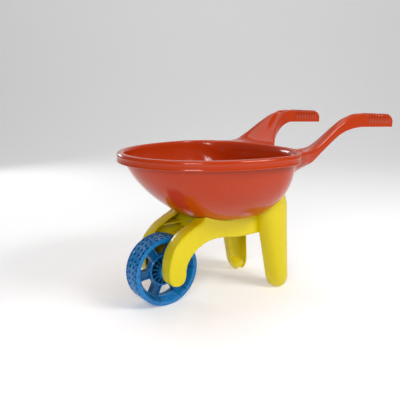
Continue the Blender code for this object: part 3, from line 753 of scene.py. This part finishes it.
def make_tub():
    """The sheet and its skirt, given a wall along its normals, with a half-round lip where the two
    skins meet."""
    points, faces, loop, edge = tub_sheet()
    near_root = smooth((points[:, 0] + 0.045) / 0.05) * smooth((0.17 - points[:, 0]) / 0.07)
    near_root *= smooth((points[:, 2] - 0.285) / 0.025)
    near_root[loop] = 0.0
    points = relax(points, [face for face in faces if face[2] != face[3]], near_root, 45)
    rows = skirt_rows(points, loop, edge)
    count = len(loop)
    start = len(points)
    points = np.vstack([points] + rows)
    ring = loop
    for _ in rows:
        below = np.arange(count) + start
        quads = np.stack([ring, below, np.roll(below, -1), np.roll(ring, -1)], axis=-1)
        faces += quads.tolist()
        ring = below
        start += count
    normals = corner_normals(points, faces)
    total = len(points)
    under = points - normals * TUB_WALL
    down = points[ring] - rows[-2]
    down /= np.linalg.norm(down, axis=1, keepdims=True)
    middle = (points[ring] + under[ring]) / 2
    lips = [middle + TUB_WALL / 2 * (math.cos(turn) * normals[ring] + math.sin(turn) * down)
            for turn in np.linspace(0, math.pi, 6)[1:-1]]
    shell = [face if face[2] != face[3] else face[:3] for face in faces]
    shell += [[index + total for index in reversed(face)] for face in shell]
    start = 2 * total
    upper = ring
    for k in range(len(lips) + 1):
        lower = np.arange(count) + start if k < len(lips) else ring + total
        shell += np.stack([upper, lower, np.roll(lower, -1), np.roll(upper, -1)], axis=-1).tolist()
        upper = lower
        start += count
    shells = [(np.vstack([points, under] + lips), shell)]
    shells += [gusset_shell(points, loop, edge, side) for _, side in SIDES]
    for x in TUB_SCREWS.values():
        for _, side in SIDES:
            base, top = DECK_TOP + FRAME_GAP, FLOOR_TOP - 0.001
            profile = [(PILOT_RADIUS, base), (0.0052, base), (0.0055, base + 0.0004), (0.0058, top),
                       (PILOT_RADIUS, top)]
            shells.append(turned(profile, 40, (x, side * TUB_SCREW_Y, 0), "Z"))
    make_piece("tub_moulding", shells, RED, "barrow", ("tub",), painted_shade_at=rib_furrow_shade)


# --- Side frames --------------------------------------------------------------------------

def drawn_in(ring, inset):
    """A closed ring in the XZ plane moved inwards by inset, along the normal of the line through its
    neighbours."""
    ahead = np.roll(ring, -1, axis=0) - np.roll(ring, 1, axis=0)
    ahead /= np.linalg.norm(ahead, axis=1, keepdims=True)
    return ring + inset * np.stack([-ahead[:, 1], ahead[:, 0]], axis=-1)


def arm_shell(side):
    """The arm: a flat face with a quarter-round edge and a wall behind it, hollow on the inside. Every
    ring is the same outline drawn in by a little and cut along the underside of the tub."""
    outer_ring = around_through(ARM_OUTLINE, 420)
    steps = [(FRAME_EDGE * (1 - math.sin(turn)), FRAME_EDGE * (1 - math.cos(turn)))
             for turn in np.linspace(0, math.pi / 2, 9)]
    depth = FRAME_OUTER_Y - FRAME_INNER_Y
    steps += [(0.0, 0.012), (0.0, 0.022), (0.0, depth - 0.0008), (0.0003, depth - 0.0002), (0.0008, depth)]
    steps += [(FRAME_WALL - 0.0005, depth), (FRAME_WALL, depth - 0.0005), (FRAME_WALL, 0.016),
              (FRAME_WALL, FRAME_WALL + 0.003), (FRAME_WALL + 0.0009, FRAME_WALL + 0.0009),
              (FRAME_WALL + 0.003, FRAME_WALL)]
    rings = []
    for inset, back in steps:
        ring = drawn_in(outer_ring, inset)
        y = np.full(len(ring), side * (FRAME_OUTER_Y - back))
        under = bowl_under(ring[:, 0], y, TUB_WALL + FRAME_GAP) - max(inset - FRAME_EDGE, 0.0)
        wall = FRAME_WALL if inset >= FRAME_WALL - 0.0006 and back > FRAME_EDGE * 0.5 else 0.0
        z = np.minimum(ring[:, 1], under - wall)
        rings.append(np.stack([ring[:, 0], y, z], axis=-1))
    return ring_solid(np.array(rings))


def leg_at(level, along, depth, side, inset):
    """A point of the leg's half oval: along runs from 0 at its rear edge to half a turn at its front
    edge, and the whole section shrinks as a circle's arc towards the foot."""
    front = LEG_FRONT[0] + LEG_FRONT[1] * level
    rear = LEG_REAR[0] + LEG_REAR[1] * level - LEG_TUCK[1] * np.maximum(level - LEG_TUCK[0], 0.0)
    bulge = LEG_BULGE[0] + (LEG_BULGE[1] - LEG_BULGE[0]) * level / LEG_TOP
    near_foot = np.clip(1 - level / FOOT_ROUND, 0, 1)
    share = FOOT_SHARE + (1 - FOOT_SHARE) * np.sqrt(1 - near_foot ** 2)
    half = (rear - front) / 2 * share - inset
    x = (rear + front) / 2 + half * np.cos(along)
    y = LEG_MID_Y + np.maximum(bulge * share - inset, 0) * np.abs(np.sin(along)) ** 0.85 * depth
    return x, side * y


def leg_shell(side):
    """The leg: a half cone with a wall, open towards the middle of the barrow, closed at the foot, its
    top cut along the underside of the tub."""
    sweep = np.linspace(0, math.pi, 41)
    levels = np.concatenate([FOOT_ROUND * (1 - np.cos(np.linspace(0, math.pi / 2, 16))),
                             np.linspace(FOOT_ROUND + 0.010, LEG_TOP, 26)])
    rings = []
    for level in levels:
        hollow = float(smooth((level - 0.007) / 0.022))
        rows = []
        for inset, depth, path in ((0.0, 1.0, sweep), (FRAME_WALL, hollow, sweep[::-1])):
            height = np.full_like(path, level)
            for _ in range(3):
                x, y = leg_at(height, path, depth, side, inset)
                top = bowl_under(x, y, TUB_WALL + FRAME_GAP)
                leaning = LEG_FLAT + (top - LEG_FLAT) * (level - LEG_FLAT) / (LEG_TOP - LEG_FLAT)
                height = np.minimum(level, np.where(level > LEG_FLAT, leaning, level))
            x, y = leg_at(height, path, depth, side, inset)
            first = (x[0], side * LEG_OPEN_Y, height[0])
            last = (x[-1], side * LEG_OPEN_Y, height[-1])
            rows.append(np.vstack([first, np.stack([x, y, height], axis=-1), last]))
        rings.append(np.vstack(rows))
    return ring_solid(np.array(rings))


def slab_under_tub(x0, x1, y0, y1, bottom, top):
    """A plate standing across the barrow, its top edge following the underside of the tub."""
    y = np.linspace(y0, y1, 60)
    rings = []
    soft = 0.0005
    for value in (x0, x0 + soft, x1 - soft, x1):
        inner = soft if value in (x0, x1) else 0.0
        low = np.full_like(y, bottom + inner)
        high = np.minimum(bowl_under(np.full_like(y, value), y, TUB_WALL + FRAME_GAP) - inner, top)
        run = np.concatenate([y, y[::-1]])
        height = np.concatenate([low, high[::-1]])
        rings.append(np.stack([np.full_like(run, value), run, height], axis=-1))
    return ring_solid(np.array(rings))


def make_frame(hand, side):
    shells = [arm_shell(side), leg_shell(side)]
    inner, web = FRAME_INNER_Y, FRAME_OUTER_Y - FRAME_WALL
    y0, y1 = sorted((side * (inner + 0.0006), side * (web + 0.0006)))
    low = DECK_TOP - DECK_THICKNESS
    deck = [[(x, y0, low), (x, y1, low), (x, y1, DECK_TOP), (x, y0, DECK_TOP)]
            for x in np.linspace(*DECK_ENDS, 4)]
    shells.append(ring_solid(np.array(deck)))
    boss = [(BOSS_BORE, inner), (BOSS_RADIUS - 0.0005, inner), (BOSS_RADIUS, inner + 0.0005),
            (BOSS_RADIUS, web + 0.001), (BOSS_BORE, web + 0.001)]
    shells.append(turned(boss, 64, AXLE, "Y", side))
    for x, height in TIES.values():
        low_x = x if side < 0 else x + TIE_THICKNESS + FRAME_GAP
        y0, y1 = sorted((side * (FRAME_OUTER_Y - FRAME_WALL), -side * TIE_LAP))
        shells.append(slab_under_tub(low_x, low_x + TIE_THICKNESS, y0, y1, TIE_BOTTOM, TIE_TOP))
        if side > 0:
            back = low_x + TIE_THICKNESS
            knob = [(PILOT_RADIUS, back - 0.0005), (0.0042, back - 0.0005), (0.0040, back + 0.0076),
                    (0.0036, back + 0.008), (PILOT_RADIUS, back + 0.008)]
            shells.append(turned(knob, 40, (0, 0, height), "X"))
    make_piece(f"side_frame_{hand}_moulding", shells, YELLOW, "barrow",
               (f"side_frame_{hand}",))


# --- Wheel --------------------------------------------------------------------------------

def tread_shell(side):
    """The tread and the side ring: a closed profile round the axle, with the tread's radius cut back by
    a row of square pockets, a groove and a row of notches between shoulder blocks."""
    tread = np.linspace(HALF_GAP, 0.0221, 40)
    profile = [(WHEEL_RADIUS, v) for v in tread]
    profile += [(WHEEL_RADIUS - 0.0004, 0.0229), (WHEEL_RADIUS - 0.0012, WHEEL_FACE_Y),
                (0.0722, WHEEL_FACE_Y), (0.0717, 0.0230), (0.0713, PLATE_Y), (0.0665, PLATE_Y),
                (RING_START, PLATE_Y - 0.0004),
                (WEB_END + 0.0008, WEB_Y + 0.0020), (WEB_END, WEB_Y), (WINDOW_OUTER + 0.0007, WEB_Y),
                (WINDOW_OUTER, WEB_Y - 0.0007), (WINDOW_OUTER + 0.0002, 0.0012), (0.0600, 0.0010),
                (0.0625, 0.0060), (0.0680, 0.0195), (0.0692, 0.0195), (0.0698, 0.0188), (0.0698, HALF_GAP)]
    profile = np.array(profile)
    around = TREAD_BLOCKS * 14
    angle = np.linspace(0, TURN, around, endpoint=False)[:, None]
    block = (angle / TURN * TREAD_BLOCKS) % 1.0
    v = profile[None, :, 1]
    on_tread = (np.arange(len(profile)) < len(tread))[None, :]
    pocket = band(block, 0.22, 0.68, 0.16) * band(v, 0.0042, 0.0100, 0.0010)
    groove = band(v, 0.0124, 0.0142, 0.0008) + 0 * block
    notch = band(block, 0.60, 0.92, 0.14) * band(v, 0.0150, 0.0300, 0.0009)
    side_pocket = band(block, 0.12, 0.44, 0.14) * band(v, 0.0165, 0.0200, 0.0009)
    cut = np.maximum.reduce([0.0036 * pocket, 0.0014 * groove, 0.0026 * notch, 0.0022 * side_pocket])
    radius = profile[None, :, 0] - np.where(on_tread, cut, 0.0)
    points = np.stack([radius * np.cos(angle), side * v + 0 * angle, radius * np.sin(angle)], axis=-1)
    return ring_solid(points + np.array(AXLE), ends=False)


def hub_shells(side):
    """The barrel on the axle, the dished recess round it and the wall of its drum, as one turned
    profile, and the thin fins that stand in the recess."""
    drum_top = WEB_Y + 0.0010
    profile = [(BORE_RADIUS, HALF_GAP),
               (BORE_RADIUS, HUB_END_Y - 0.0006), (BORE_RADIUS + 0.0006, HUB_END_Y),
               (HUB_RADIUS - 0.0045, HUB_END_Y), (HUB_RADIUS - 0.0039, HUB_END_Y - 0.0006),
               (HUB_RADIUS - 0.0036, 0.0240), (HUB_RADIUS - 0.0010, 0.0228), (HUB_RADIUS, 0.0216),
               (HUB_RADIUS + 0.0002, RECESS_Y + 0.001), (HUB_RADIUS + 0.0012, RECESS_Y),
               (DRUM_RADIUS - 0.001, RECESS_Y), (DRUM_RADIUS, RECESS_Y + 0.001),
               (DRUM_RADIUS, drum_top - 0.0008), (DRUM_RADIUS + 0.0008, drum_top),
               (WINDOW_INNER - 0.0009, drum_top), (WINDOW_INNER, drum_top - 0.0009), (WINDOW_INNER, 0.0016),
               (WINDOW_INNER - 0.0006, 0.0010), (HUB_RADIUS, 0.0010), (HUB_RADIUS, HALF_GAP)]
    shells = [turned(profile, 180, AXLE, "Y", side)]
    for k in range(FINS):
        turn = TURN * (k + 0.5) / FINS
        radial = np.array([math.cos(turn), 0, math.sin(turn)])
        across = np.array([-math.sin(turn), 0, math.cos(turn)])
        rings = []
        for radius, top in ((HUB_RADIUS - 0.001, 0.0130), (0.0225, 0.0105), (DRUM_RADIUS + 0.0006, 0.0084)):
            corners = [(-0.0008, 0.0029), (-0.0006, top - 0.0003), (-0.0004, top), (0.0004, top),
                       (0.0006, top - 0.0003), (0.0008, 0.0029)]
            rings.append([np.array(AXLE) + radial * radius + across * u + np.array([0, side * v, 0])
                          for u, v in corners])
        shells.append(ring_solid(np.array(rings)))
    return shells


def spoke_shell(turn, side):
    """A spoke: a channel between two raised edges that climb from the web on to the side ring. Its
    flanks flare into the drum and the ring as exponentials."""
    radius = np.concatenate([np.linspace(0.0315, 0.0588, 34), np.linspace(WEB_END, 0.0705, 10)])
    flare = 0.0018 * np.exp(-(radius - 0.0335) / 0.0022)
    flare = flare + 0.0034 * np.exp(-np.abs(0.0578 - radius) / 0.0030)
    wide = SPOKE_HALF + np.where(radius < 0.0578, flare, 0.0034 * np.exp(-np.abs(radius - 0.0578) / 0.0006))
    plate = WEB_Y + (PLATE_Y - WEB_Y) * np.clip((radius - WEB_END) / (RING_START - WEB_END), 0, 1)
    top = plate + WHEEL_FACE_Y - PLATE_Y
    top[-1] = PLATE_Y - 0.0004
    edge = np.full_like(radius, SPOKE_HALF)
    low = plate - 0.0075
    floor = plate - 0.0036
    half = [(wide, low), (wide, plate - 0.0007), (wide - 0.0006, plate - 0.0001), (edge, plate),
            (edge - 0.0003, top - 0.0003), (edge - 0.0007, top), (edge - 0.0014, top),
            (edge - 0.0018, top - 0.0004), (edge - 0.0025, floor)]
    ring = [(-u, v) for u, v in half] + [(u, v) for u, v in reversed(half)]
    u = np.stack([u for u, _ in ring], axis=-1)
    v = np.stack([v for _, v in ring], axis=-1)
    r = radius[:, None]
    x = r * math.cos(turn) - u * math.sin(turn)
    z = r * math.sin(turn) + u * math.cos(turn)
    points = np.stack([x, side * v, z], axis=-1)
    return ring_solid(points + np.array(AXLE))


def wheel_recess_shade(points):
    """Painted shade in the hub's recess, in the tread's pockets, down the windows' walls and beside
    the spokes' edges."""
    radius = np.hypot(points[:, 0] - AXLE.x, points[:, 2] - AXLE.z)
    depth = np.abs(points[:, 1])
    recess = band(radius, HUB_RADIUS - 0.003, DRUM_RADIUS + 0.0008, 0.002)
    recess = recess * smooth((0.0105 - depth) / 0.004)
    pocket = band(radius, 0.0700, 0.0738, 0.0008) * smooth((0.0222 - depth) / 0.001)
    window = band(radius, WINDOW_INNER - 0.001, WINDOW_OUTER + 0.001, 0.001)
    wall = window * smooth((WEB_Y - 0.001 - depth) / 0.002)
    angle = np.arctan2(points[:, 2] - AXLE.z, points[:, 0] - AXLE.x) - SPOKE_TURN
    across = np.abs(radius * np.sin((angle + math.pi / SPOKES) % (TURN / SPOKES) - math.pi / SPOKES))
    beside = band(across, SPOKE_HALF - 0.0002, SPOKE_HALF + 0.0014, 0.0006)
    line = beside * band(radius, WINDOW_INNER, 0.0712, 0.002)
    raised = smooth((depth - 0.006) / 0.002)
    return np.maximum.reduce([recess, 0.75 * pocket, 0.5 * wall, 0.7 * line * raised])


def make_wheel_half(hand, side):
    shells = [tread_shell(side)] + hub_shells(side)
    for k in range(SPOKES):
        shells.append(spoke_shell(TURN * k / SPOKES + SPOKE_TURN, side))
    make_piece(f"wheel_half_{hand}_moulding", shells, BLUE, "wheel",
               (f"wheel_half_{hand}",), 32, wheel_recess_shade)


# --- Screws -------------------------------------------------------------------------------

def screw_shell(place, axis, length):
    """A pan-head screw: a domed head with a cross cut into it, and a shank whose radius rises and falls
    once a turn of its thread."""
    around = 48
    angle = np.linspace(0, TURN, around, endpoint=False)[:, None]
    dome = np.linspace(0.0, 1.0, 14)
    radius = np.concatenate([SCREW_HEAD_RADIUS * dome, [SCREW_HEAD_RADIUS, SCREW_RADIUS],
                             np.full(40, SCREW_RADIUS), [0.0]])
    height = np.concatenate([-SCREW_HEAD_HEIGHT + 0.0013 * dome ** 2.4, [0.0, 0.0],
                             np.linspace(0.0003, length - 0.001, 40), [length]])
    radius = np.broadcast_to(radius, (around, len(radius))).copy()
    height = np.broadcast_to(height, radius.shape).copy()
    u, v = radius * np.cos(angle), radius * np.sin(angle)
    narrow = [band(w, -SLOT_HALF, SLOT_HALF, 0.0004) for w in (u, v)]
    long = [band(w, -SLOT_REACH, SLOT_REACH, 0.0004) for w in (u, v)]
    cross = np.maximum(narrow[0] * long[1], narrow[1] * long[0])
    on_head = (np.arange(radius.shape[1]) < len(dome))[None, :]
    height += np.where(on_head, SLOT_DEPTH * cross, 0.0)
    on_shank = (np.arange(radius.shape[1]) >= len(dome) + 2)[None, :]
    thread = 0.5 + 0.5 * np.cos(TURN * height / THREAD_PITCH - angle)
    radius = np.where(on_shank & (radius > 0), radius - THREAD_DEPTH * (1 - thread), radius)
    u, v = radius * np.cos(angle), radius * np.sin(angle)
    points = np.stack([u, v, height] if axis == "Z" else [height, u, v], axis=-1) + np.asarray(place)
    return ring_solid(points, ends=False)


def make_screws():
    head_z = DECK_TOP - DECK_THICKNESS - 0.0003
    for end, x in TUB_SCREWS.items():
        for hand, side in SIDES:
            shell = screw_shell((x, side * TUB_SCREW_Y, head_z), "Z", TUB_SCREW_LENGTH)
            make_piece(f"tub_screw_{end}_{hand}_threaded", [shell], STEEL, "barrow",
                       (f"tub_screw_{end}_{hand}",), 50)
    for end, (x, height) in TIES.items():
        shell = screw_shell((x - 0.0003, 0, height), "X", JOINING_SCREW_LENGTH)
        make_piece(f"joining_screw_{end}_threaded", [shell], STEEL, "barrow",
                   (f"joining_screw_{end}",), 50)


# --- Stage, light and camera --------------------------------------------------------------

def make_stage():
    """A pale floor that turns up into a wall behind, as one sheet."""
    x = np.linspace(-4, 4, 3)
    bend = np.linspace(0.1, math.pi / 2, 12)
    run = np.concatenate([[-4.0, -2.0, 0.0, 2.0], 2.0 + 1.5 * np.sin(bend), [3.5]])
    rise = np.concatenate([np.zeros(4), 1.5 - 1.5 * np.cos(bend), [4.0]])
    turn = -VIEW_AZIMUTH
    gx, gr = np.meshgrid(x, run)
    _, gz = np.meshgrid(x, rise)
    across = gx * math.cos(turn) + gr * math.sin(turn)
    away = -gx * math.sin(turn) + gr * math.cos(turn)
    points = np.stack([across, away, gz], axis=-1).reshape(-1, 3)
    mesh = bpy.data.meshes.new("floor_sweep")
    mesh.from_pydata(points.tolist(), [], grid_faces(len(run), len(x)))
    mesh.shade_smooth()
    paper = bpy.data.materials.new("pale_paper")
    paper.use_nodes = True
    shader = paper.node_tree.nodes["Principled BSDF"]
    shader.inputs["Base Color"].default_value = (0.92, 0.92, 0.92, 1.0)
    shader.inputs["Roughness"].default_value = 0.9
    shader.inputs["Emission Color"].default_value = (1.0, 1.0, 1.0, 1.0)
    shader.inputs["Emission Strength"].default_value = 0.20
    mesh.materials.append(paper)
    floor = bpy.data.objects.new("floor_sweep", mesh)
    bpy.context.scene.collection.objects.link(floor)


def soft_box(name, place, target, width, height, power, colour=(1, 1, 1)):
    lamp = bpy.data.lights.new(name, "AREA")
    lamp.shape = "RECTANGLE"
    lamp.size = width
    lamp.size_y = height
    lamp.energy = power
    lamp.color = colour
    item = bpy.data.objects.new(name, lamp)
    item.location = place
    item.rotation_euler = (Vector(target) - Vector(place)).to_track_quat("-Z", "Y").to_euler()
    bpy.context.scene.collection.objects.link(item)


def make_lights():
    middle = (-0.05, 0.0, 0.2)
    soft_box("key", (0.65, -1.60, 1.65), middle, 0.9, 0.5, 26)
    soft_box("top", (0.1, 0.2, 2.3), middle, 1.8, 1.8, 17)
    soft_box("back", (-0.35, 2.0, 0.75), middle, 0.6, 0.25, 6)
    for column in range(3):
        for row in range(2):
            across = (column - 1) * 0.13
            place = (-1.25 + across, -1.15 - across, 0.80 + row * 0.22)
            soft_box(f"window_{column}_{row}", place, middle, 0.14, 0.18, 1.6)
    world = bpy.data.worlds.new("studio")
    world.use_nodes = True
    world.node_tree.nodes["Background"].inputs["Color"].default_value = (1.0, 1.0, 1.0, 1.0)
    world.node_tree.nodes["Background"].inputs["Strength"].default_value = 0.20
    bpy.context.scene.world = world


def make_camera():
    back = Vector((math.sin(VIEW_AZIMUTH) * math.cos(VIEW_ELEVATION),
                   -math.cos(VIEW_AZIMUTH) * math.cos(VIEW_ELEVATION), math.sin(VIEW_ELEVATION)))
    lens = bpy.data.cameras.new("camera")
    lens.lens = LENS
    lens.sensor_width = 36
    item = bpy.data.objects.new("camera", lens)
    item.location = VIEW_TARGET + back * VIEW_DISTANCE
    item.rotation_euler = back.to_track_quat("Z", "Y").to_euler()
    bpy.context.scene.collection.objects.link(item)
    bpy.context.scene.camera = item


bpy.context.scene.view_settings.view_transform = "Standard"
make_camera()
make_tub()
for hand, side in SIDES:
    make_frame(hand, side)
    make_wheel_half(hand, side)
make_screws()
for node in ("axle_rod", "axle_washer_left", "axle_washer_right"):
    frame["nodes"][node].data.materials.clear()
    frame["nodes"][node].data.materials.append(STEEL)
make_stage()
make_lights()
